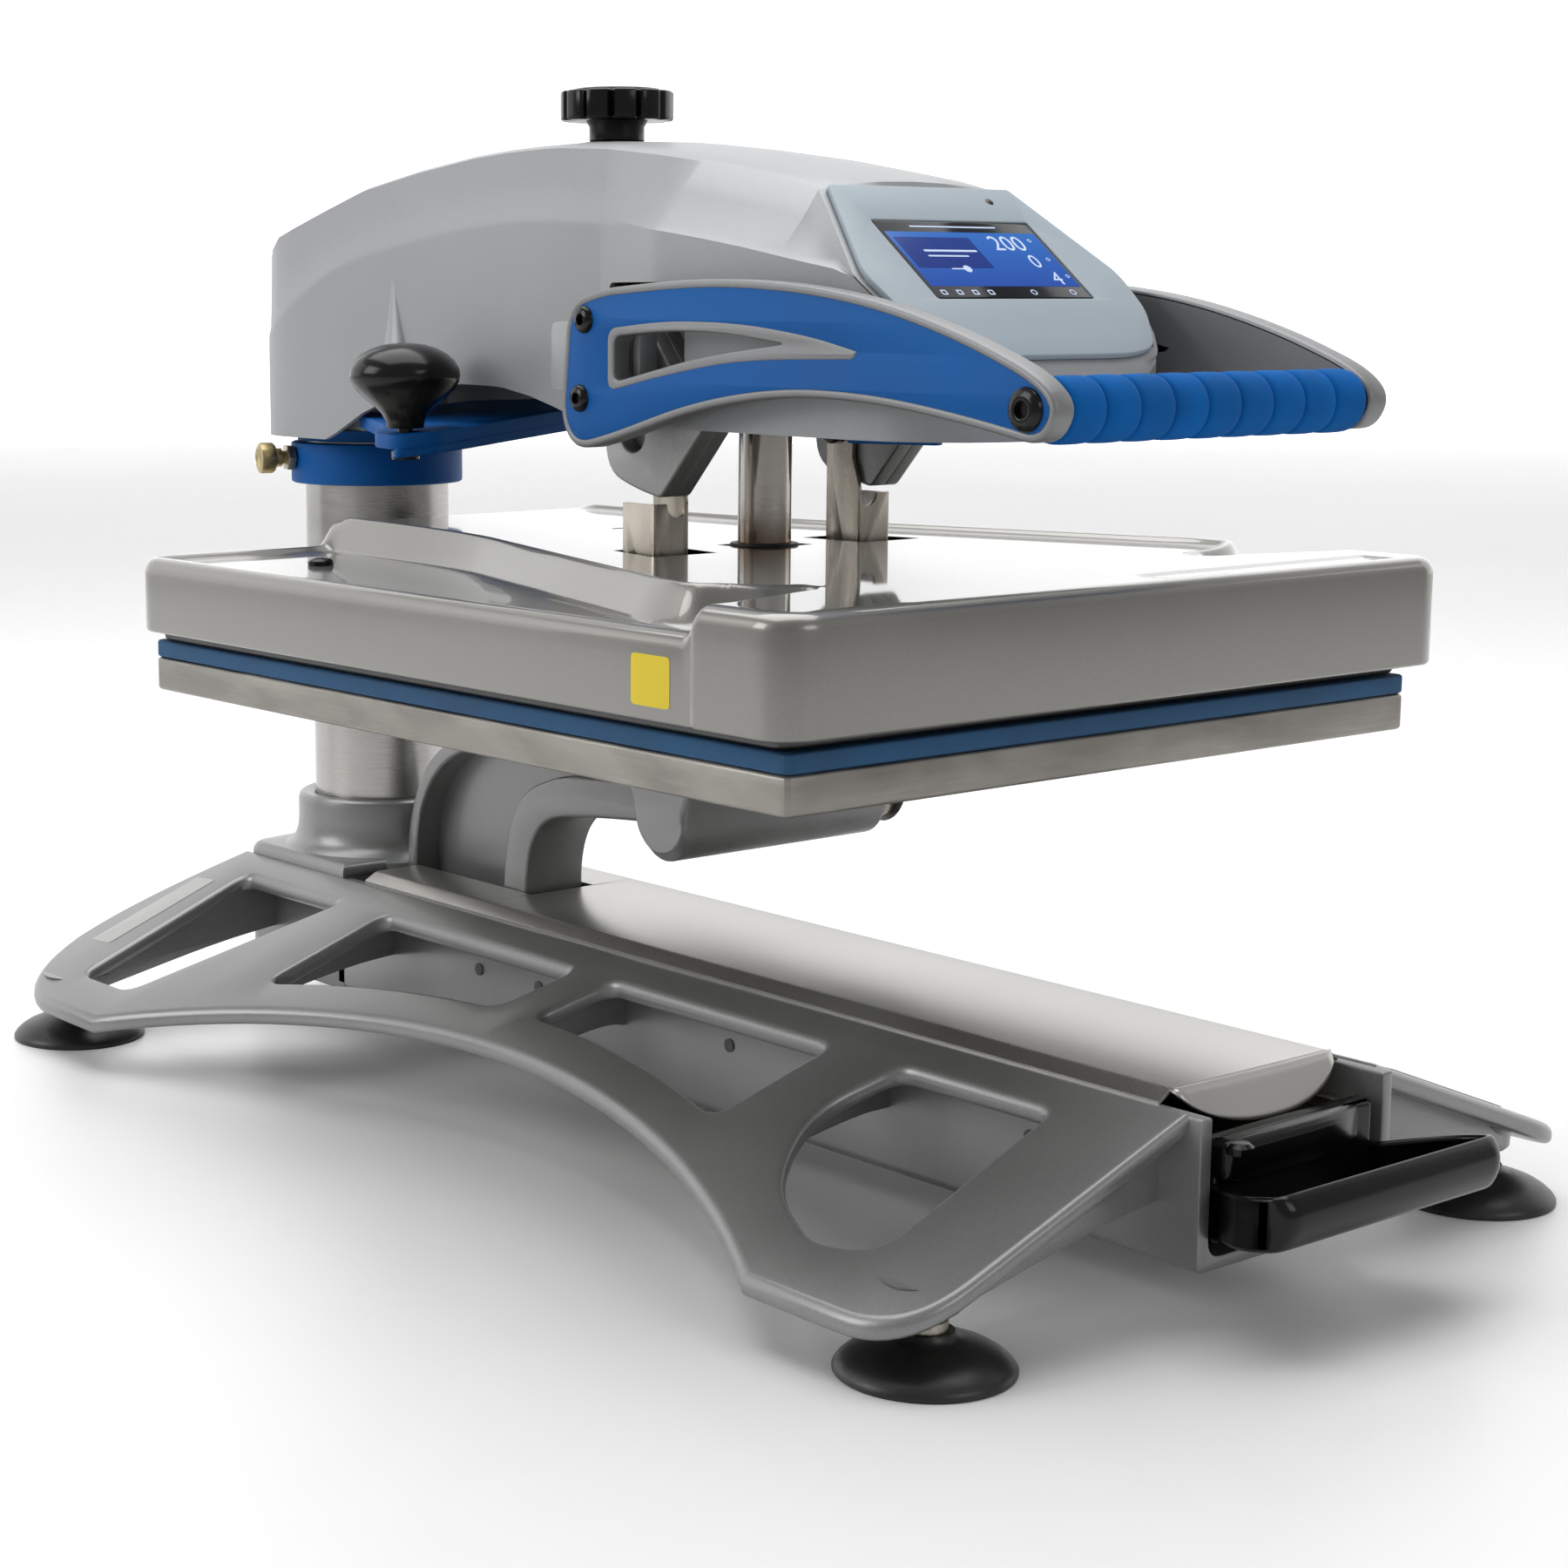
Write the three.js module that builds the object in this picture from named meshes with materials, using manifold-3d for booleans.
// A swing-away draw heat press: a cast base with a drawer that carries the lower platen, a column,
// and an arm that swings on it and presses the heated platen down through a pair of toggles.
// Millimetres. X runs to the operator's right, Y to the back, Z up; the origin is on the floor
// under the middle of the lower platen. The pose is the closed press.
import * as THREE from "three";
import { mergeVertices } from "three/addons/utils/BufferGeometryUtils.js";
import Module from "manifold-3d";

const wasm = await Module();
wasm.setup();

// ---------------------------------------------------------------- driving dimensions

const GAP = 0.3; // air between pieces that touch
const RUN = 0.4; // radial clearance of a shaft in its bore
const SIDES = { left: -1, right: 1 };

const platen = { width: 406.4, depth: 508, bottom: 218.4, top: 235.9, corner: 6 };
const pad = { bottom: platen.top + GAP, top: 245.2 };
const heat = { width: 404, depth: 499, bottom: 245.5, top: 262, corner: 8 };
const cover = {
  half: 216,
  front: -267,
  back: 257,
  bottom: 251.2,
  ledge: 290,
  top: 303,
  corner: 20,
  wall: 7,
};
const column = { y: 339, post: 39.5, spigot: 33.5, bore: 27, sleeve: 42.5, collar: 51 };
const boss = { radius: 50, top: 131, socketFloor: 32 };
const beam = { half: 64, inner: 57, bottom: 24, floor: 30, top: 91.2, front: -358, back: 285 };
const deck = { top: 99, back: 399, wall: 7 };
const wing = { root: beam.half + GAP, crown: 96, crownAt: 54, slope: 0.38, thickness: 10 };
const arch = { x: 685, y: 20, radius: 535, half: 275 }; // the hollow in each wing's outer edge
const rim = 28; // width of the wing's frame beside its windows
const foot = { cup: 37.7, cupTop: 17.5, stud: 9.2, studTop: 26, pad: 15 };
const feet = { front: [184.6, -320], rear: [191.2, 374] }; // the right pair, [x, y]
const drawer = { front: -352, back: 280, railInner: 49, railOuter: 56.7, railBottom: 52, railTop: 76 };
const lid = { half: 52, top: 97.3, sheet: 1.5, front: -331, back: 268, slot: 22 };
const saddle = { y: -22, z: 168, radius: 18, half: 78 };
const neck = { half: 20.5, web: 4, rim: 9 };
const pull = { half: 74, mouthHalf: 55, front: -412, bar: 18, wall: 9, bottom: 37.5, top: 61, rise: 12 };
const arm = { half: 62, headHalf: 85.5, bottom: 346, wall: 3 };
const pivot = { y: 2, z: 397, radius: 9 }; // the handle's axis, along X
const knee = { y: -2, z: 361 }; // crank and link meet here when the press is closed
const ankle = { y: -6, z: 284, pin: 5 }; // link and heated platen meet here
const crank = { inner: 60.9, outer: 80 };
const link = { inner: 57.3, outer: 79.2, sheet: 2.5, front: -18, back: 6, top: 327 };
const guide = { y: -10, radius: 13.6, top: 412 };
const bezel = { y: -116, z: 479, tilt: THREE.MathUtils.degToRad(38.5), plate: 3 };
const screen = { half: 50.7, top: 28, bottom: 84 };
const lever = { inner: 96, outer: 108, face: 1.6 }; // the handle's two side arms
const grip = { y: -291, z: 381.4, tube: 10, foam: 14.2, half: 95.6 };
const knob = {
  y: 110,
  radius: 29.7,
  dip: 2.8,
  bottom: 518,
  top: 534.5,
  stem: 14.6,
  stemBottom: 507.3,
  lobes: 12,
  screw: 7.5,
};
const inlet = { z: 372, depth: -9.5 };
const rocker = { z: 402 };
const swingKnob = { x: -100, y: 164, radius: 29.5, bottom: 358.4, middle: 385, top: 403 };

// ---------------------------------------------------------------- materials

const finish = (color, roughness, metalness) =>
  new THREE.MeshStandardMaterial({ color, roughness, metalness });
const BASE_PAINT = finish(0x7c7e7e, 0.45, 0.5);
const ARM_PAINT = finish(0xa9adb1, 0.4, 0.4);
const COVER_SILVER = finish(0x9a9894, 0.25, 0.7);
const GREY_CASTING = finish(0x8e9090, 0.55, 0.6);
const ALUMINIUM = finish(0xb0aea8, 0.4, 0.9);
const STEEL = finish(0xa9a295, 0.3, 0.9);
const CHROME = finish(0xd0d0d0, 0.1, 1);
const BRASS = finish(0xa58f55, 0.35, 0.9);
const BLUE = finish(0x015aa0, 0.4, 0.1);
const BLUE_FOAM = finish(0x0068b5, 0.9, 0);
const SILICONE = finish(0x2a4f78, 0.8, 0);
const BLACK = finish(0x101010, 0.2, 0);
const RUBBER = finish(0x161514, 0.7, 0);
const BEZEL_GREY = finish(0xb9c6cf, 0.45, 0.1);
const SCREEN_GLASS = finish(0x1b3fa0, 0.08, 0);
const BOARD_GREEN = finish(0x1f5a38, 0.6, 0);
const FIBRE = finish(0xd8d2c2, 0.95, 0);
const HEATER_STEEL = finish(0x6b6a66, 0.5, 0.8);

// ---------------------------------------------------------------- shape helpers

// A closed shape through corners [across, up, radius]; a corner without a radius stays sharp.
function roundedShape(corners, radius = 0) {
  const shape = new THREE.Shape();
  const points = corners.map(([x, y]) => new THREE.Vector2(x, y));
  points.forEach((corner, i) => {
    const size = corners[i][2] ?? radius;
    const towards = (other) =>
      corner.clone().lerp(other, Math.min(0.49, size / corner.distanceTo(other)));
    const start = towards(points.at(i - 1));
    const end = towards(points[(i + 1) % points.length]);
    if (i === 0) shape.moveTo(start.x, start.y);
    else shape.lineTo(start.x, start.y);
    if (size > 0) shape.quadraticCurveTo(corner.x, corner.y, end.x, end.y);
  });
  return shape;
}

const rectangle = (x0, y0, x1, y1, radius = 0) =>
  roundedShape([[x0, y0], [x1, y0], [x1, y1], [x0, y1]], radius);

function disc(radius, x = 0, y = 0) {
  const shape = new THREE.Shape();
  shape.absarc(x, y, radius, 0, 2 * Math.PI);
  return shape;
}

// The corners moved inwards by a distance, for a face plate or a cavity inside an outline.
function inset(corners, distance) {
  return corners.map(([x, y, r], i) => {
    const [px, py] = corners.at(i - 1);
    const [nx, ny] = corners[(i + 1) % corners.length];
    const before = new THREE.Vector2(x - px, y - py).normalize();
    const after = new THREE.Vector2(nx - x, ny - y).normalize();
    const normal = new THREE.Vector2(-before.y - after.y, before.x + after.x).normalize();
    const stretch = distance / Math.max(0.5, -before.y * normal.x + before.x * normal.y);
    return [x + normal.x * stretch, y + normal.y * stretch, r];
  });
}

// A closed geometry as a manifold-3d solid, turned right side out.
function solid(geometry) {
  const bare = geometry.clone();
  bare.deleteAttribute("normal");
  bare.deleteAttribute("uv");
  const merged = mergeVertices(bare, 1e-3);
  const vertProperties = merged.attributes.position.array;
  const triVerts = new Uint32Array(merged.index.array);
  const made = new wasm.Manifold(new wasm.Mesh({ numProp: 3, vertProperties, triVerts }));
  if (made.volume() > 0) return made;
  return new wasm.Manifold(
    new wasm.Mesh({ numProp: 3, vertProperties, triVerts: triVerts.slice().reverse() }),
  );
}

const X = new THREE.Vector3(1, 0, 0);
const Y = new THREE.Vector3(0, 1, 0);
const Z = new THREE.Vector3(0, 0, 1);

function extrusion(shape, depth, curveSegments) {
  return new THREE.ExtrudeGeometry(shape, { depth, bevelEnabled: false, curveSegments });
}

// Prisms: alongX takes a shape drawn in (Y, Z), alongY one in (X, Z) and alongZ one in (X, Y).
function alongX(shape, x0, x1, steps = 3) {
  const turned = extrusion(shape, x1 - x0, steps);
  turned.applyMatrix4(new THREE.Matrix4().makeBasis(Y, Z, X));
  return solid(turned.translate(x0, 0, 0));
}

function alongY(shape, y0, y1, steps = 3) {
  const turned = extrusion(shape, y1 - y0, steps);
  turned.applyMatrix4(new THREE.Matrix4().makeBasis(X, Z, Y.clone().negate()));
  return solid(turned.translate(0, y1, 0));
}

function alongZ(shape, z0, z1, steps = 3) {
  return solid(extrusion(shape, z1 - z0, steps).translate(0, 0, z0));
}

// A slab with its upper and lower edges rounded.
function softSlab(shape, z0, z1, edge, steps = 3) {
  const geometry = new THREE.ExtrudeGeometry(shape, {
    depth: z1 - z0 - 2 * edge,
    bevelThickness: edge,
    bevelSize: edge,
    bevelOffset: -edge,
    bevelSegments: 1,
    curveSegments: steps,
  });
  return solid(geometry.translate(0, 0, z0 + edge));
}

// A solid of revolution about a vertical axis, from [radius, height] pairs.
function turned(profile, x = 0, y = 0, segments = 24) {
  const points = profile.map(([r, z]) => new THREE.Vector2(r, z));
  const geometry = new THREE.LatheGeometry(points, segments).rotateX(Math.PI / 2);
  return solid(geometry.translate(x, y, 0));
}

// The same about any axis: the profile's heights run along the direction from the start point.
function turnedAlong(profile, start, direction, segments = 20) {
  const points = profile.map(([r, h]) => new THREE.Vector2(r, h));
  const geometry = new THREE.LatheGeometry(points, segments);
  geometry.applyQuaternion(new THREE.Quaternion().setFromUnitVectors(Y, direction));
  return solid(geometry.translate(start.x, start.y, start.z));
}

const rod = (radius, length) => [[0, 0], [radius, 0], [radius, length], [0, length]];
const join = (first, ...rest) => rest.reduce((sum, piece) => sum.add(piece), first);
const cut = (first, ...rest) => rest.reduce((left, piece) => left.subtract(piece), first);

// The biggest connected piece, without the slivers that a cut can leave.
const largest = (piece) =>
  piece.decompose().reduce((best, other) => (other.volume() > best.volume() ? other : best));

// A round bar or bore along X at (y, z), between two distances from the middle plane on one side.
function crossRod(side, radius, y, z, from, to, segments = 20) {
  const start = new THREE.Vector3(side * from, y, z);
  return turnedAlong(rod(radius, to - from), start, X.clone().multiplyScalar(side), segments);
}

// A prism along X that lies between two distances from the middle plane on one side.
function sidePrism(side, shape, from, to, steps = 3) {
  return side > 0 ? alongX(shape, from, to, steps) : alongX(shape, -to, -from, steps);
}

function meshOf(name, piece, material) {
  const data = piece.getMesh();
  const geometry = new THREE.BufferGeometry();
  geometry.setAttribute("position", new THREE.BufferAttribute(data.vertProperties, 3));
  geometry.setIndex(new THREE.BufferAttribute(data.triVerts, 1));
  geometry.computeVertexNormals();
  const mesh = new THREE.Mesh(geometry, material);
  mesh.name = name;
  return mesh;
}

// ---------------------------------------------------------------- base

const wingTop = (x) => wing.crown - wing.slope * (x - wing.crownAt);
const mirrored = (piece, side) => (side > 0 ? piece : piece.mirror([1, 0, 0]));

function wingOutline() {
  const halfAngle = Math.asin(arch.half / arch.radius);
  const tip = arch.x - arch.radius * Math.cos(halfAngle);
  const shape = new THREE.Shape();
  shape.moveTo(wing.root, -351);
  shape.lineTo(tip - 36, -349);
  shape.quadraticCurveTo(tip, -348, tip, -313);
  shape.absarc(arch.x, arch.y, arch.radius, Math.PI + halfAngle, Math.PI - halfAngle, true);
  shape.lineTo(tip, 352);
  shape.quadraticCurveTo(tip - 4, 398, 172, 409);
  shape.quadraticCurveTo(130, 420, wing.root, 393);
  return shape;
}

// The four windows of the right wing, from back to front, seen from above.
function wingWindows() {
  const inner = 84;
  const edge = (y) => arch.x - Math.sqrt((arch.radius + rim) ** 2 - (y - arch.y) ** 2);
  const back = roundedShape([[inner, 259], [197, 304], [197, 354], [inner, 360]], 7);
  const middle = [217, 120, 54].map((y) => [edge(y), y, y === 120 ? 60 : 8]);
  const rear = roundedShape([[inner, 41, 5], ...middle.reverse(), [inner, 212, 8]]);
  const centre = [22, -70, -144].map((y) => [edge(y), y, y === -70 ? 60 : 8]);
  const fore = roundedShape([[inner, 10, 6], ...centre, [inner, -153, 6]]);
  const front = roundedShape([
    [inner, -292, 5],
    [188, -295, 12],
    [195, -264, 6],
    [174, -218, 26],
    [126, -186, 30],
    [inner, -200, 8],
  ]);
  return [back, rear, fore, front];
}

// An upright stiffening web under the wing, from the beam outwards.
function wingWeb(y, reach, rootDepth, tipDepth) {
  const thickness = 6;
  const buried = wing.thickness / 2;
  const outline = roundedShape([
    [wing.root, wingTop(wing.root) - rootDepth],
    [reach, wingTop(reach) - tipDepth],
    [reach, wingTop(reach) - buried],
    [wing.root, wingTop(wing.root) - buried],
  ]);
  return alongY(outline, y - thickness / 2, y + thickness / 2);
}

function wingCasting(side) {
  const tall = 120;
  const reach = 240;
  const slab = alongY(
    roundedShape([
      [wing.root, wingTop(wing.root)],
      [wing.root, wingTop(wing.root) - wing.thickness],
      [reach, wingTop(reach) - wing.thickness],
      [reach, wingTop(reach)],
    ]),
    -420,
    412,
  );
  const plan = alongZ(wingOutline(), 0, tall, 6);
  const holes = wingWindows().map((shape) => alongZ(shape, 0, tall, 3));
  const plate = cut(plan.intersect(slab), ...holes);
  const besideFoot = 12;
  const webs = [
    wingWeb(feet.rear[1] - besideFoot, feet.rear[0], 42, 16),
    wingWeb(236, 172, 38, 14),
    wingWeb(25, 140, 38, 16),
    wingWeb(-170, 156, 38, 16),
    wingWeb(feet.front[1] - besideFoot, feet.front[0], 42, 18),
  ];
  const pads = Object.values(feet).map(([x, y]) =>
    alongZ(disc(foot.pad, x, y), foot.studTop, wingTop(x) - wing.thickness / 2, 6),
  );
  return mirrored(join(plate, ...webs, ...pads), side);
}

function baseBeam() {
  const section = roundedShape([
    [-beam.half, beam.bottom, 4],
    [beam.half, beam.bottom, 4],
    [beam.half, beam.top],
    [beam.inner, beam.top],
    [beam.inner, beam.floor, 7],
    [-beam.inner, beam.floor, 7],
    [-beam.inner, beam.top],
    [-beam.half, beam.top],
  ]);
  const trough = alongY(section, beam.front, beam.back + deck.wall);
  const deckPlan = [
    [-beam.half, beam.back],
    [beam.half, beam.back],
    [beam.half, deck.back - 8, 8],
    [0, deck.back + 6, 60],
    [-beam.half, deck.back - 8, 8],
  ];
  const outside = alongZ(roundedShape(deckPlan), beam.bottom, deck.top);
  const inside = alongZ(roundedShape(inset(deckPlan, deck.wall)), 0, deck.top - deck.wall);
  const flare = 6;
  const tower = turned(
    [
      [0, beam.bottom],
      [boss.radius, beam.bottom],
      [boss.radius, 90],
      [boss.radius + flare, deck.top - 1],
      [boss.radius, deck.top + flare],
      [boss.radius, boss.top - 3],
      [boss.radius - 3, boss.top],
      [0, boss.top],
    ],
    0,
    column.y,
  );
  const socketRadius = column.post + GAP;
  const socket = turned(rod(socketRadius, boss.top), 0, column.y).translate([0, 0, boss.socketFloor]);
  return cut(join(trough, cut(outside, inside), tower), socket);
}

function columnPost() {
  const shoulder = 268;
  const floor = boss.socketFloor + GAP;
  return turned(
    [
      [column.bore, floor],
      [column.post, floor],
      [column.post, shoulder],
      [column.spigot, shoulder],
      [column.spigot, 436],
      [column.bore, 436],
      [column.bore, floor],
    ],
    0,
    column.y,
  );
}

function footCup(x, y) {
  const profile = [
    [0, 2.5],
    [28, 2.5],
    [29.5, 0],
    [foot.cup, 0],
    [foot.cup, 2.2],
    [34, 6.5],
    [26, 10.8],
    [17, 13.4],
    [13.5, 14.6],
    [12.5, foot.cupTop],
    [0, foot.cupTop],
  ];
  return turned(profile, x, y, 18);
}

const footStud = (x, y) => alongZ(disc(foot.stud, x, y), foot.cupTop + GAP, foot.studTop - GAP, 6);

const rail = { lip: 2.5, groove: 5, play: 0.5 };

function fixedRail(side) {
  const { lip, groove } = rail;
  const section = roundedShape([
    [drawer.railOuter, drawer.railBottom],
    [drawer.railOuter, drawer.railTop],
    [drawer.railInner, drawer.railTop],
    [drawer.railInner, drawer.railTop - groove],
    [drawer.railOuter - lip, drawer.railTop - groove],
    [drawer.railOuter - lip, drawer.railBottom + groove],
    [drawer.railInner, drawer.railBottom + groove],
    [drawer.railInner, drawer.railBottom],
  ]);
  return mirrored(alongY(section, drawer.front + 8, drawer.back), side);
}

// ---------------------------------------------------------------- drawer

function slideBar(side) {
  const bottom = drawer.railBottom + rail.groove + rail.play;
  const top = drawer.railTop - rail.groove - rail.play;
  const outer = drawer.railOuter - rail.lip - rail.play;
  const bar = rectangle(44, bottom, outer, top, 1);
  return mirrored(alongY(bar, drawer.front + 8, drawer.back - 12), side);
}

const carriage = () =>
  softSlab(rectangle(-43.6, -336, 43.6, drawer.back - 14, 3), 60.5, 66.5, 0.8);

function drawerLid() {
  const drop = 4.8;
  const flange = 8;
  const section = roundedShape([
    [-lid.half - flange, lid.top - drop],
    [-lid.half, lid.top],
    [lid.half, lid.top],
    [lid.half + flange, lid.top - drop],
    [lid.half + flange - 1, lid.top - drop - lid.sheet + 0.6],
    [lid.half, lid.top - lid.sheet],
    [-lid.half, lid.top - lid.sheet],
    [-lid.half - flange + 1, lid.top - drop - lid.sheet + 0.6],
  ]);
  const sheet = alongY(section, lid.front, lid.back);
  const slot = alongZ(rectangle(-lid.slot, 158, lid.slot, lid.back + 10, 3), 80, 110);
  // The front lip is a half moon that folds forwards and down.
  const lip = new THREE.Shape();
  lip.moveTo(-lid.half, 0);
  lip.quadraticCurveTo(-30, -21, 0, -22);
  lip.quadraticCurveTo(30, -21, lid.half, 0);
  const lipGeometry = extrusion(lip, lid.sheet, 5);
  lipGeometry.rotateX(THREE.MathUtils.degToRad(38));
  lipGeometry.translate(0, lid.front + 0.5, lid.top - lid.sheet);
  return join(cut(sheet, slot), solid(lipGeometry));
}

// The C-shaped bracket that lifts the lower platen clear of the base, drawn from the side.
function gooseneck() {
  const outline = [
    [164, 67],
    [281, 67],
    [282, 124, 26],
    [256, 166, 26],
    [212, 184, 20],
    [140, 190],
    [saddle.y + 16, 192],
    [saddle.y + 16, 156],
    [96, 149, 14],
    [148, 143, 16],
    [166, 118, 16],
  ];
  const body = alongX(roundedShape(outline), -neck.half, neck.half);
  const pocketShape = roundedShape(inset(outline, neck.rim));
  const pockets = Object.values(SIDES).map((side) =>
    sidePrism(side, pocketShape, neck.web, neck.half + 1),
  );
  const seat = alongX(saddleOutline(), -saddle.half, saddle.half, 5);
  return cut(body, ...pockets, seat, seat.translate([0, GAP, 0]));
}

function saddleOutline() {
  const top = platen.bottom - GAP;
  const flare = 44;
  const outline = new THREE.Shape();
  outline.moveTo(saddle.y - flare, top);
  outline.lineTo(saddle.y - flare, top - 7);
  outline.quadraticCurveTo(saddle.y - saddle.radius - 4, top - 12, saddle.y - saddle.radius, saddle.z);
  outline.absarc(saddle.y, saddle.z, saddle.radius, Math.PI, 2 * Math.PI);
  outline.quadraticCurveTo(saddle.y + saddle.radius + 4, top - 12, saddle.y + flare, top - 7);
  outline.lineTo(saddle.y + flare, top);
  return outline;
}

function platenSaddle() {
  const body = alongX(saddleOutline(), -saddle.half, saddle.half, 5);
  const leverSlot = alongX(rectangle(saddle.y - 60, 150, saddle.y + 60, 206), 60, 72);
  return cut(body, leverSlot);
}

function lockLever() {
  const outline = roundedShape([
    [saddle.y - 10, 158, 6],
    [saddle.y + 10, 158, 6],
    [saddle.y + 10, 186, 6],
    [saddle.y - 34, 198, 4],
    [saddle.y - 62, 200, 4],
    [saddle.y - 62, 190, 4],
    [saddle.y - 20, 184, 6],
  ]);
  return alongX(outline, 61, 71);
}

// A tapered loop that climbs from the block in the beam's mouth to the bar at its front.
function drawerPull() {
  const mouth = beam.front - 1;
  const back = drawer.front + 7;
  const knuckle = pull.front + pull.bar + 6;
  const outer = roundedShape([
    [-pull.half, pull.front, 9],
    [pull.half, pull.front, 9],
    [pull.half, knuckle, 8],
    [pull.mouthHalf, mouth],
    [pull.mouthHalf, back],
    [-pull.mouthHalf, back],
    [-pull.mouthHalf, mouth],
    [-pull.half, knuckle, 8],
  ]);
  const hole = roundedShape([
    [-pull.half + pull.wall, pull.front + pull.bar, 6],
    [pull.half - pull.wall, pull.front + pull.bar, 6],
    [pull.mouthHalf - 2, mouth - 7, 6],
    [-pull.mouthHalf + 2, mouth - 7, 6],
  ]);
  const bar = roundedShape([
    [pull.front, pull.bottom, 8],
    [back, pull.bottom],
    [back, pull.top],
    [pull.front, pull.top, 8],
  ]);
  const loop = cut(alongZ(outer, 0, 100), alongZ(hole, 0, 100)).intersect(alongX(bar, -100, 100));
  const reach = mouth - pull.front;
  const lifted = loop.warp((point) => {
    point[2] += (pull.rise * Math.max(0, mouth - point[1])) / reach;
  });
  const blockHalf = beam.inner - 2;
  const block = softSlab(rectangle(-blockHalf, drawer.front - 4, blockHalf, back + 0.5, 3), 33, 80, 1);
  return join(lifted, block);
}

// ---------------------------------------------------------------- heated platen

const slabOf = (size, z0, z1, edge) =>
  softSlab(
    rectangle(-size.width / 2, -size.depth / 2, size.width / 2, size.depth / 2, size.corner),
    z0,
    z1,
    edge,
  );

// The raised middle of the cover narrows towards the back and meets the full-width front block.
function coverPlateau(distance) {
  const right = [
    [90, cover.back - 6],
    [99, 114],
    [146, -34],
    [183, -160],
    [186, -205, 10],
    [cover.half - 2, -214, 6],
    [cover.half - 2, cover.front, cover.corner],
  ];
  const left = right.map(([x, y, r]) => [-x, y, r]).reverse();
  return roundedShape(inset([...right.reverse(), ...left.reverse()], distance));
}

const linkSlot = (side) =>
  alongZ(rectangle(side * 66.5 - 19.5, -31, side * 66.5 + 19.5, 11, 3), 240, 320);

function platenCover() {
  const plan = rectangle(-cover.half, cover.front, cover.half, cover.back, cover.corner);
  const skirt = softSlab(plan, cover.bottom, cover.ledge, 3, 4);
  const crown = alongZ(coverPlateau(0), cover.ledge - 8, cover.top, 4);
  const shell = cover.wall;
  const hollow = alongZ(
    rectangle(
      -cover.half + shell,
      cover.front + shell,
      cover.half - shell,
      cover.back - shell,
      cover.corner - 4,
    ),
    cover.bottom - 5,
    cover.ledge - 4,
  );
  const upperHollow = alongZ(rectangle(-92, -200, 92, 110, 4), cover.bottom, cover.top - 3.5);
  const shaftHole = alongZ(rectangle(-20, guide.y - 14.4, 20, guide.y + 14.4, 10), 240, 320);
  const slots = Object.values(SIDES).map(linkSlot);
  return cut(join(skirt, crown), hollow, upperHollow, shaftHole, ...slots);
}

const insulationBoard = () =>
  cut(
    alongZ(rectangle(-196, -240, 196, 236, 4), 268.5, 276),
    alongZ(disc(guide.radius + 2, 0, guide.y), 260, 290, 8),
    ...Object.values(SIDES).map((side) =>
      alongZ(rectangle(side * 68 - 16, -34, side * 68 + 16, 20, 2), 260, 290),
    ),
  );

// The tubular element lies in two hairpin loops on the heated platen's back.
function heaterElement() {
  const half = 150;
  const points = [];
  [190, 120, -130, -200].forEach((y, row) => {
    const [from, to] = row % 2 ? [half, -half] : [-half, half];
    points.push(new THREE.Vector3(from, y, 265.4), new THREE.Vector3(to, y, 265.4));
  });
  const path = new THREE.CatmullRomCurve3(points, false, "catmullrom", 0.12);
  return solid(
    new THREE.ExtrudeGeometry(disc(2.8), { steps: 36, extrudePath: path, curveSegments: 3 }),
  );
}

const guideShaft = () =>
  turned(rod(guide.radius, guide.top - heat.top - GAP), 0, guide.y).translate([0, 0, heat.top + GAP]);

// A lug on the heated platen with its pin, which the link's two cheeks turn on.
function ankleLug(side) {
  const lug = roundedShape([[-19, heat.top + GAP], [7, heat.top + GAP], [4, 295, 9], [-16, 295, 9]]);
  const block = sidePrism(side, lug, link.inner + link.sheet + 1, link.outer - link.sheet - 1, 4);
  const pin = crossRod(side, ankle.pin, ankle.y, ankle.z, link.inner - 2, link.outer + 2, 20);
  return join(block, pin);
}

// ---------------------------------------------------------------- toggle links and cranks

function toggleLink(side) {
  const foot0 = ankle.z - 11;
  const bore = ankle.pin + RUN;
  const outerCheek = roundedShape([
    [link.front, foot0, 8],
    [link.back, foot0, 8],
    [link.back, link.top],
    [link.front, link.top],
  ]);
  const innerCheek = roundedShape([
    [link.front, foot0, 8],
    [link.back, foot0, 8],
    [link.back, 350],
    [link.back + 1, 374, 10],
    [knee.y - 11, 374, 10],
    [knee.y - 11, 345],
    [link.front, 332, 6],
  ]);
  const web = roundedShape([
    [link.front, 292],
    [link.front + link.sheet, 292],
    [link.front + link.sheet, link.top],
    [link.front, link.top],
  ]);
  const bores = crossRod(side, bore, ankle.y, ankle.z, link.inner - 5, link.outer + 5, 20);
  const notch = alongY(disc(7, side * 64, link.top), link.front - 5, link.front + 10, 6);
  return cut(
    join(
      sidePrism(side, outerCheek, link.outer - link.sheet, link.outer),
      sidePrism(side, innerCheek, link.inner, link.inner + link.sheet),
      sidePrism(side, web, link.inner, link.outer),
    ),
    bores,
    notch.intersect(sidePrism(side, web, link.inner + link.sheet, link.outer)),
  );
}

function crankCasting(side) {
  const outline = roundedShape([
    [19, 342, 16],
    [-4, 334, 8],
    [-23.3, 330.4, 2],
    [-56, 366, 4],
    [-40, 382, 10],
    [pivot.y - 12, 418, 12],
    [pivot.y + 20, 418, 18],
    [20, 372, 10],
  ]);
  const bore = pivot.radius + GAP;
  const body = sidePrism(side, outline, crank.inner, crank.outer);
  const hub = crossRod(side, bore, pivot.y, pivot.z, 50, 90);
  const counterbore = crossRod(side, 9, knee.y, knee.z, crank.outer - 9, crank.outer + 1, 20);
  return cut(body, hub, counterbore);
}

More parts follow.
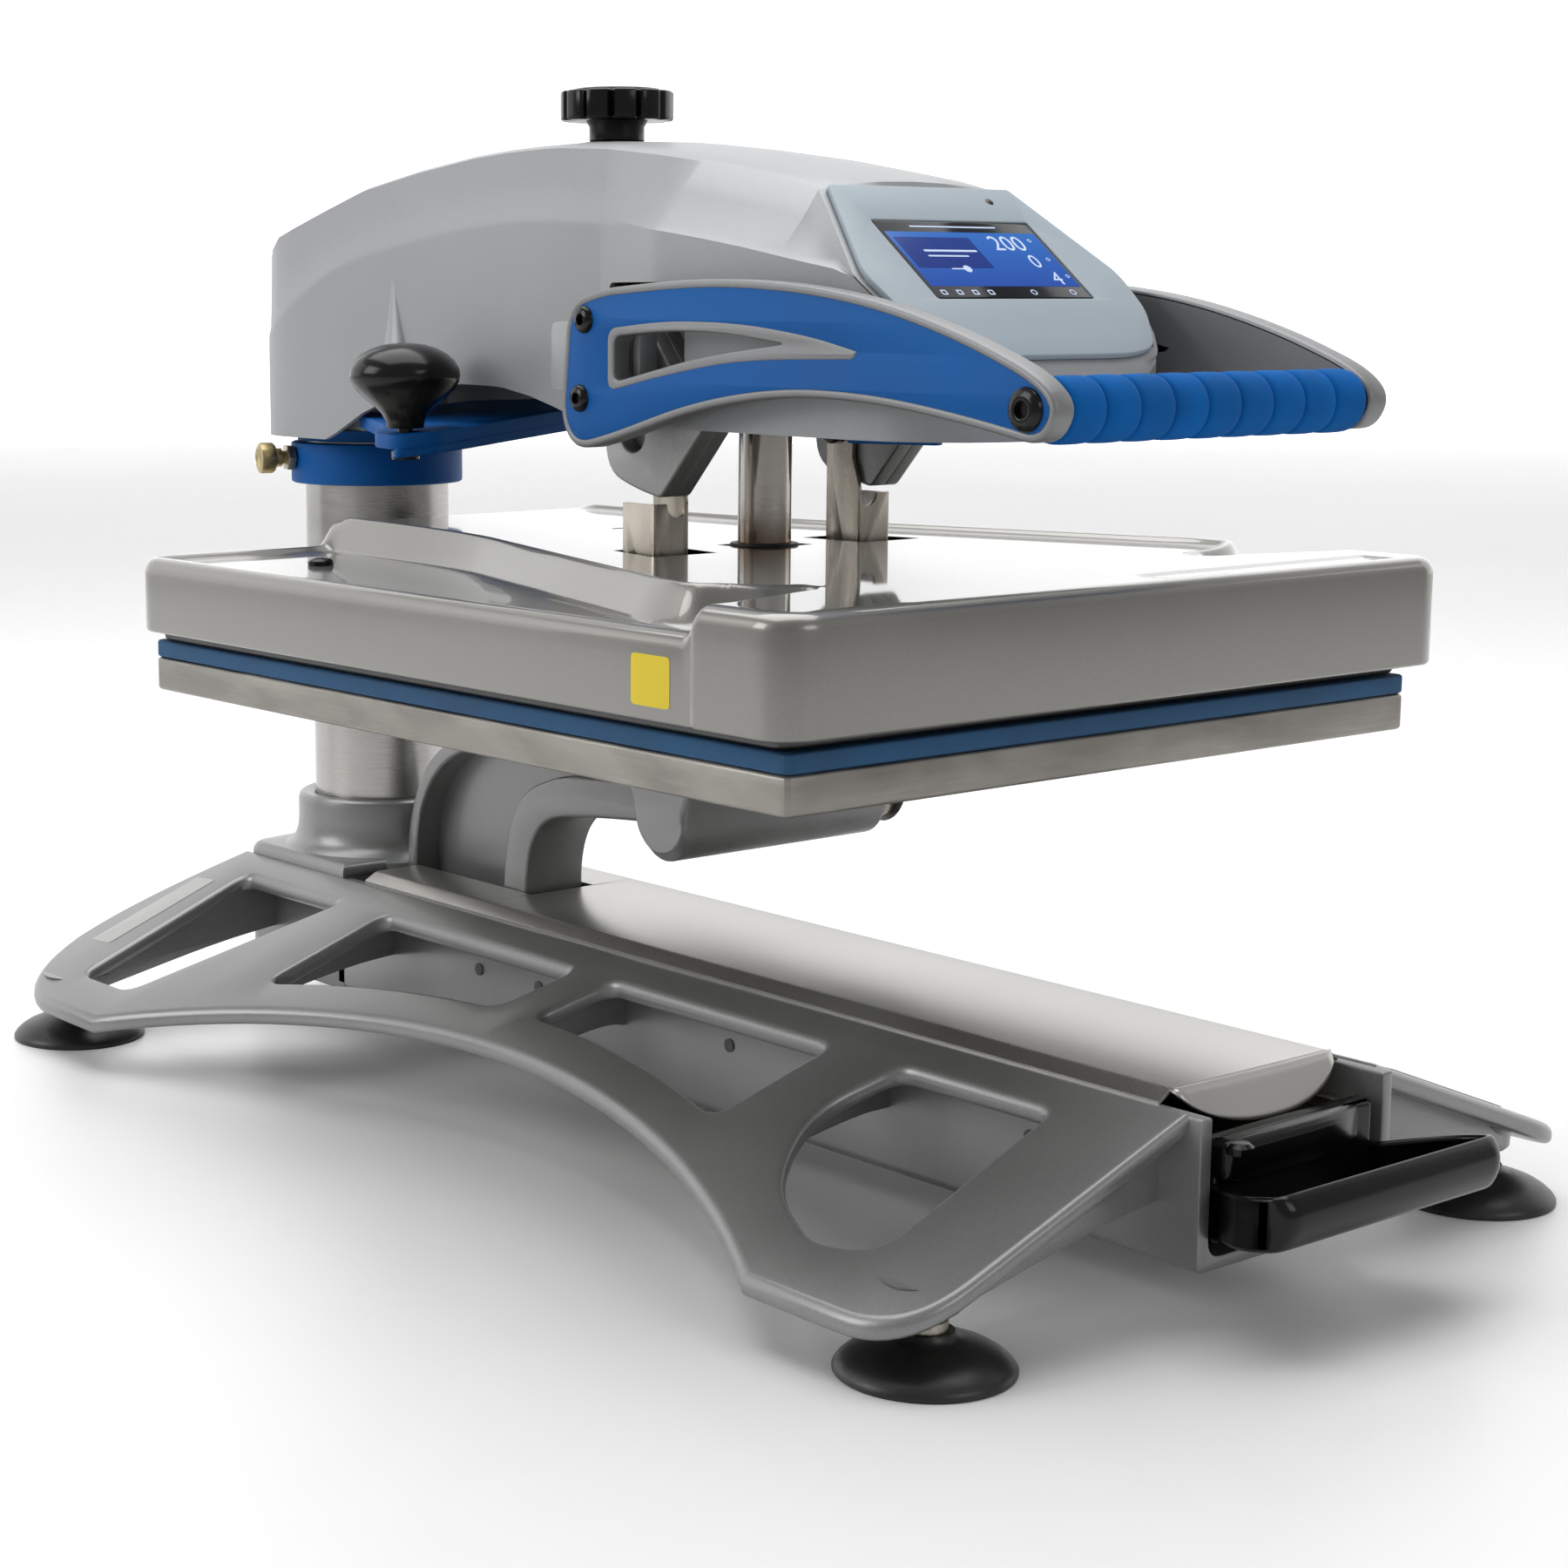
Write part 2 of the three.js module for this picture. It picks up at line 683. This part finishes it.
const pivotShaft = (side) =>
  crossRod(side, pivot.radius, pivot.y, pivot.z, 29, lever.inner - GAP);

// ---------------------------------------------------------------- arm

// Half of the arm's plan, from the nose round to the back of the column.
const armPlan = [
  [0, -222],
  [40, -219, 8],
  [66, -208, 8],
  [80, -186, 6],
  [arm.headHalf, -165, 6],
  [arm.headHalf, -24, 8],
  [arm.half, 46, 4],
  [arm.half, 352, 34],
  [22, 392, 16],
];

function armTop(inner) {
  return [
    [392, 446],
    [366, 463],
    [310, 480],
    [250, 492],
    [180, 502],
    [110, 507],
    [40, 504],
    [-20, 498],
    [-70, 490],
    [bezel.y + 2.1, bezel.z - 2.7],
  ].map(([y, z]) => [y, z - inner]);
}

// The arm's outer form, or the same form made smaller by a wall thickness.
function armForm(inner) {
  const half = armPlan.map(([x, y, r]) => [
    Math.max(0, x - inner),
    y + (y < -100 ? inner : y > 350 ? -inner : 0),
    r,
  ]);
  const left = half.slice(1).map(([x, y, r]) => [-x, y, r]).reverse();
  const plan = alongZ(roundedShape([...half, ...left]), 300, 560);
  const drop = inner > 0 ? 60 : 0;
  const bottom = [
    [-214.5, 396.4 - inner],
    [-223, 364 - drop],
    [66, 366 - drop],
    [84, 370 - drop, 10],
    [140, 379 - drop, 20],
    [190, 380 - drop, 20],
    [250, 368 - drop, 20],
    [288, 350 - drop, 14],
    [300, arm.bottom - drop],
    [392, arm.bottom - drop],
  ];
  const side = alongX(roundedShape([...armTop(inner), ...bottom]), -100, 100);
  // The roof falls away on both sides of a flat crown.
  const crownHalf = 54;
  const fall = 1.36;
  const under = roundedShape([...armTop(inner), [bezel.y, 200], [392, 200]]);
  const front = alongX(rectangle(-260, 200, bezel.y + 40, 700), -100, 100);
  const roofs = Object.values(SIDES).map((s) => {
    const sheared = extrusion(under, 200, 4);
    sheared.applyMatrix4(new THREE.Matrix4().makeBasis(Y, Z, X)).translate(-100, 0, 0);
    const shear = new THREE.Matrix4();
    shear.makeShear(0, -s * fall, 0, 0, 0, 0).setPosition(0, 0, fall * crownHalf);
    return join(solid(sheared.applyMatrix4(shear)), front);
  });
  return roofs.reduce((form, roof) => form.intersect(roof), plan.intersect(side));
}

function armHousing() {
  const crankRoom = Object.values(SIDES).map((side) =>
    sidePrism(side, rectangle(-48, 340, 34, 434, 6), 56, 100),
  );
  const screwHole = alongZ(disc(9, 0, knob.y), 480, 520, 6);
  const inletHole = alongY(rectangle(-20.5, inlet.z - 11.5, 20.5, inlet.z + 11.5), 380, 400);
  const rockerHole = alongY(rectangle(-10.2, rocker.z - 7.2, 10.2, rocker.z + 7.2), 380, 400);
  const margin = 3;
  const screenHole = alongZ(
    rectangle(-screen.half - margin, -screen.bottom - margin, screen.half + margin, -screen.top + margin),
    -40,
    40,
  );
  const placed = screenHole.rotate([THREE.MathUtils.radToDeg(bezel.tilt), 0, 0]);
  const shell = cut(
    armForm(0),
    armForm(arm.wall),
    screwHole,
    placed.translate([0, bezel.y, bezel.z]),
    inletHole,
    rockerHole,
    ...crankRoom,
  );
  return largest(shell);
}

// A group whose local frame lies on the control face: X across, Y up the slope, Z out of it.
function onBezel(...meshes) {
  const group = new THREE.Group();
  group.position.set(0, bezel.y, bezel.z);
  group.rotation.x = bezel.tilt;
  group.add(...meshes);
  return group;
}

function bezelPlate() {
  const right = [
    [0, -127],
    [44, -126, 10],
    [64, -121, 8],
    [80.6, -94, 6],
    [84.9, -66, 6],
    [59.6, 0, 2],
  ];
  const left = right.slice(1).map(([x, y, r]) => [-x, y, r]).reverse();
  const plate = alongZ(roundedShape([...right, ...left]), -bezel.plate, 0);
  const window = rectangle(-screen.half - GAP, -screen.bottom - GAP, screen.half + GAP, -screen.top + GAP);
  return cut(plate, alongZ(window, -10, 10));
}

const touchScreen = () =>
  softSlab(rectangle(-screen.half, -screen.bottom, screen.half, -screen.top, 1), -7, -0.4, 0.5);

const controlBoard = () => alongZ(rectangle(-46, -92, 46, -22, 2), -16, -13);

// The steel spine inside the arm: it turns on the column and guides the shaft and the pivots.
function armSpine() {
  const plan = roundedShape([
    [-44, -40, 8],
    [44, -40, 8],
    [44, 352, 20],
    [20, 378, 12],
    [-20, 378, 12],
    [-44, 352, 20],
  ]);
  const bores = Object.values(SIDES).map((side) =>
    crossRod(side, pivot.radius + RUN, pivot.y, pivot.z, 28, 60),
  );
  return cut(
    alongZ(plan, 383, 428),
    alongZ(disc(column.spigot + RUN, 0, column.y), 300, 500, 20),
    alongZ(disc(guide.radius + RUN, 0, guide.y), 300, 500, 10),
    alongZ(disc(8.5, 0, knob.y), 300, 500, 6),
    alongZ(rectangle(-30, 150, 30, 270, 10), 300, 500),
    ...bores,
  );
}

const columnSleeve = () =>
  turned(
    [
      [column.spigot + RUN, 269],
      [column.sleeve, 269],
      [column.sleeve, 382.6],
      [column.spigot + RUN, 382.6],
      [column.spigot + RUN, 269],
    ],
    0,
    column.y,
  );

function swingCollar() {
  const ring = turned(
    [
      [column.sleeve + GAP, 318],
      [column.collar - 1, 318],
      [column.collar, 319],
      [column.collar, 341],
      [column.collar - 1, 342],
      [column.sleeve + GAP, 342],
      [column.sleeve + GAP, 318],
    ],
    0,
    column.y,
  );
  const hole = turnedAlong(rod(4.4, 80), screwStart, screwDirection, 16);
  return cut(ring, hole);
}

// The clamp screw stands out of the collar's left rear.
const screwDirection = new THREE.Vector3(-0.96, 0.28, 0);
screwDirection.normalize();
const screwStart = new THREE.Vector3(0, column.y, 333);
const screwAt = (distance) => screwStart.clone().addScaledVector(screwDirection, distance);

function hexNut() {
  const nut = turnedAlong(rod(8, 5), screwAt(column.collar + 0.8), screwDirection, 6);
  return cut(nut, turnedAlong(rod(4.4, 80), screwStart, screwDirection, 16));
}

const thumbscrew = () =>
  turnedAlong(
    [
      [0, 0],
      [4, 0],
      [4, 15],
      [5.5, 16],
      [5.5, 20],
      [9, 21],
      [9, 29],
      [8, 30],
      [0, 30],
    ],
    screwAt(column.sleeve + 1),
    screwDirection,
    20,
  );

function swingBracket() {
  const { x, y } = swingKnob;
  const plan = roundedShape([
    [x - 14, y - 10, 8],
    [x + 10, y - 16, 8],
    [44, 176, 10],
    [56, 232, 10],
    [30, 284, 6],
    [-46, 290, 6],
    [-84, 206, 16],
    [x - 8, y + 16, 8],
  ]);
  // The plate climbs from the knob towards the arm's underside.
  const climb = 0.08;
  const plate = softSlab(plan, 349, 356.7, 0.8).warp((point) => {
    point[2] += climb * (point[0] + 95);
  });
  const ring = turned([[44, 343], [47, 343], [47, 350], [44, 350], [44, 343]], 0, column.y);
  const tongue = alongZ(rectangle(-24, 276, 20, 298), 343, 356.7);
  const clear = alongZ(disc(column.sleeve + GAP + 0.4, 0, column.y), 300, 400, 16);
  return cut(join(plate, tongue, ring), clear, alongZ(disc(4.5, x, y), 300, 400, 5));
}

function mushroomKnob() {
  const { x, y, radius, bottom, middle, top } = swingKnob;
  return turned(
    [
      [0, 342],
      [7.5, 342],
      [8.5, 347],
      [4, 347],
      [4, bottom],
      [9, bottom],
      [9.5, bottom + 4],
      [17, bottom + 13],
      [26, middle - 7],
      [radius, middle - 1],
      [radius, middle + 2],
      [26, middle + 9],
      [17, top - 3],
      [8, top],
      [0, top],
    ],
    x,
    y,
    18,
  );
}

// A block on each side of the arm carries the outer end of the handle's pivot shaft.
function pivotBearing(side) {
  const plate = sidePrism(side, rectangle(-26, 381, 44, 415, 6), 84, lever.inner - 1);
  const leg = sidePrism(side, rectangle(36, 381, 44, 415), arm.half + 4, 86);
  const bore = crossRod(side, pivot.radius + RUN, pivot.y, pivot.z, 60, 120);
  return cut(join(plate, leg), bore);
}

function headBase() {
  const plan = roundedShape([
    [-68, -76],
    [-68, -176, 6],
    [-34, -212, 10],
    [34, -212, 10],
    [68, -176, 6],
    [68, -76],
  ]);
  return softSlab(plan, 366, 369, 0.5);
}

const powerInlet = () =>
  cut(
    join(
      softSlab(rectangle(-24, -14, 24, 14, 2), 0, 4, 0.8),
      alongZ(rectangle(-20, -11, 20, 11), inlet.depth, 1),
    ),
    alongZ(rectangle(-14, -10, 14, 10, 3), inlet.depth + 2, 10),
  );

const rockerButton = () => softSlab(rectangle(-9.5, -6, 9.5, 6, 2), -3, 3.5, 1);

// Fittings on the arm's back wall: X across, Y up, Z out of the wall.
function onBackWall(x, z, mesh) {
  const group = new THREE.Group();
  group.position.set(x, 392.4, z);
  group.rotation.set(Math.PI / 2, Math.PI, 0);
  group.add(mesh);
  return group;
}

// ---------------------------------------------------------------- handle

const leverOutline = [
  [14, 424, 14],
  [-12, 431, 10],
  [-82.6, 435.7, 20],
  [-142.4, 433.9, 20],
  [-198.3, 426.8, 20],
  [-250.9, 413.2, 20],
  [-296, 396, 12],
  [-308, 383, 10],
  [-298, 368, 10],
  [-252, 375.4, 20],
  [-199.3, 382.2, 20],
  [-143.2, 383.7, 20],
  [-83.1, 376.1, 20],
  [-18.5, 358.3, 16],
  [8, 353, 14],
  [20, 368, 10],
];
const leverWindow = [
  [-22, 408, 4],
  [-61, 411, 12],
  [-100, 410.5, 12],
  [-140, 406.5, 2],
  [-87, 400, 12],
  [-22, 387, 4],
];
const faceWindow = [
  [-17, 412, 6],
  [-60, 416, 20],
  [-111, 415.5, 20],
  [-160, 410, 20],
  [-189, 404, 1],
  [-187, 400, 1],
  [-112, 399, 20],
  [-60, 391, 20],
  [-17, 382, 6],
];

function leverArm(side) {
  const body = sidePrism(side, roundedShape(leverOutline), lever.inner, lever.outer, 2);
  const window = sidePrism(side, roundedShape(leverWindow), lever.inner - 5, lever.outer + 5, 2);
  const recess = cut(
    sidePrism(side, roundedShape(inset(leverOutline, 4.5)), lever.outer - lever.face, lever.outer + 5, 2),
    sidePrism(side, roundedShape(faceWindow), lever.outer - 10, lever.outer + 10, 2),
  );
  return cut(body, window, recess);
}

function leverFace(side) {
  const from = lever.outer - lever.face + GAP;
  const to = lever.outer - 0.1;
  const outline = roundedShape(inset(leverOutline, 4.5 + GAP));
  const opening = roundedShape(inset(faceWindow, -GAP));
  return cut(sidePrism(side, outline, from, to, 2), sidePrism(side, opening, from - 5, to + 5, 2));
}

const gripTube = () =>
  alongX(disc(grip.tube, grip.y, grip.z), -lever.inner + GAP, lever.inner - GAP, 6);

// A foam sleeve on the tube between the handle's two arms.
function gripFoam() {
  const bore = grip.tube + GAP;
  const length = 2 * grip.half;
  const edge = 1.2;
  const profile = [
    [bore, 0],
    [grip.foam - edge, 0],
    [grip.foam, edge],
    [grip.foam, length - edge],
    [grip.foam - edge, length],
    [bore, length],
    [bore, 0],
  ];
  return turnedAlong(profile, new THREE.Vector3(-grip.half, grip.y, grip.z), X);
}

// ---------------------------------------------------------------- pressure knob

function starKnob() {
  const shape = new THREE.Shape();
  const steps = knob.lobes * 4;
  for (let i = 0; i < steps; i += 1) {
    const angle = (2 * Math.PI * i) / steps;
    const wave = Math.abs(Math.cos((knob.lobes * angle) / 2));
    const radius = knob.radius - knob.dip * (1 - wave ** 0.5);
    const place = [radius * Math.cos(angle), knob.y + radius * Math.sin(angle)];
    if (i === 0) shape.moveTo(...place);
    else shape.lineTo(...place);
  }
  const head = softSlab(shape, knob.bottom, knob.top, 1.6);
  const stemLength = knob.bottom + 3 - knob.stemBottom;
  const stem = turned(rod(knob.stem, stemLength), 0, knob.y, 20).translate([0, 0, knob.stemBottom]);
  const screwBottom = 376;
  const screw = turned(rod(knob.screw, knob.bottom - screwBottom), 0, knob.y, 16);
  return join(head, stem, screw.translate([0, 0, screwBottom]));
}

// ---------------------------------------------------------------- assembly

const press = new THREE.Group();
const base = new THREE.Group();
const drawerGroup = new THREE.Group();
const armGroup = new THREE.Group();
const handleGroup = new THREE.Group();
const heatGroup = new THREE.Group();
press.add(base, drawerGroup, armGroup, handleGroup, heatGroup);

base.add(
  meshOf("base_beam", baseBeam(), BASE_PAINT),
  meshOf("column_post", columnPost(), CHROME),
);
drawerGroup.add(
  meshOf("drawer_carriage", carriage(), STEEL),
  meshOf("drawer_lid", drawerLid(), STEEL),
  meshOf("gooseneck", gooseneck(), BASE_PAINT),
  meshOf("platen_saddle", platenSaddle(), BASE_PAINT),
  meshOf("platen_lock_lever", lockLever(), STEEL),
  meshOf("lower_platen", slabOf(platen, platen.bottom, platen.top, 1.2), ALUMINIUM),
  meshOf("platen_pad", slabOf(platen, pad.bottom, pad.top, 0.8), SILICONE),
  meshOf("drawer_pull", drawerPull(), BLACK),
);
armGroup.add(
  meshOf("arm_housing", armHousing(), ARM_PAINT),
  meshOf("arm_spine", armSpine(), GREY_CASTING),
  meshOf("column_sleeve", columnSleeve(), CHROME),
  meshOf("swing_collar", swingCollar(), BLUE),
  meshOf("collar_nut", hexNut(), STEEL),
  meshOf("thumbscrew", thumbscrew(), BRASS),
  meshOf("swing_bracket", swingBracket(), BLUE),
  meshOf("swing_knob", mushroomKnob(), BLACK),
  meshOf("head_base", headBase(), ARM_PAINT),
  meshOf("pressure_knob", starKnob(), BLACK),
  onBezel(
    meshOf("control_bezel", bezelPlate(), BEZEL_GREY),
    meshOf("touch_screen", touchScreen(), SCREEN_GLASS),
    meshOf("control_board", controlBoard(), BOARD_GREEN),
  ),
  onBackWall(0, inlet.z, meshOf("power_inlet", powerInlet(), BLACK)),
  onBackWall(0, rocker.z, meshOf("power_switch", rockerButton(), BLACK)),
);
handleGroup.add(
  meshOf("grip_tube", gripTube(), CHROME),
  meshOf("grip_foam", gripFoam(), BLUE_FOAM),
);
heatGroup.add(
  meshOf("heat_platen", slabOf(heat, heat.bottom, heat.top, 1.5), ALUMINIUM),
  meshOf("heater_element", heaterElement(), HEATER_STEEL),
  meshOf("insulation_board", insulationBoard(), FIBRE),
  meshOf("platen_cover", platenCover(), COVER_SILVER),
  meshOf("guide_shaft", guideShaft(), CHROME),
);

for (const [name, side] of Object.entries(SIDES)) {
  base.add(
    meshOf(`base_wing_${name}`, wingCasting(side), BASE_PAINT),
    meshOf(`fixed_rail_${name}`, fixedRail(side), STEEL),
  );
  drawerGroup.add(meshOf(`slide_bar_${name}`, slideBar(side), STEEL));
  armGroup.add(meshOf(`pivot_bearing_${name}`, pivotBearing(side), ARM_PAINT));
  handleGroup.add(
    meshOf(`handle_arm_${name}`, leverArm(side), GREY_CASTING),
    meshOf(`handle_face_${name}`, leverFace(side), BLUE),
    meshOf(`pivot_shaft_${name}`, pivotShaft(side), STEEL),
    meshOf(`crank_${name}`, crankCasting(side), GREY_CASTING),
  );
  heatGroup.add(
    meshOf(`platen_lug_${name}`, ankleLug(side), STEEL),
    meshOf(`toggle_link_${name}`, toggleLink(side), STEEL),
  );
  for (const [end, [x, y]] of Object.entries(feet)) {
    base.add(
      meshOf(`foot_cup_${end}_${name}`, footCup(side * x, y), RUBBER),
      meshOf(`foot_stud_${end}_${name}`, footStud(side * x, y), STEEL),
    );
  }
}

export default press;
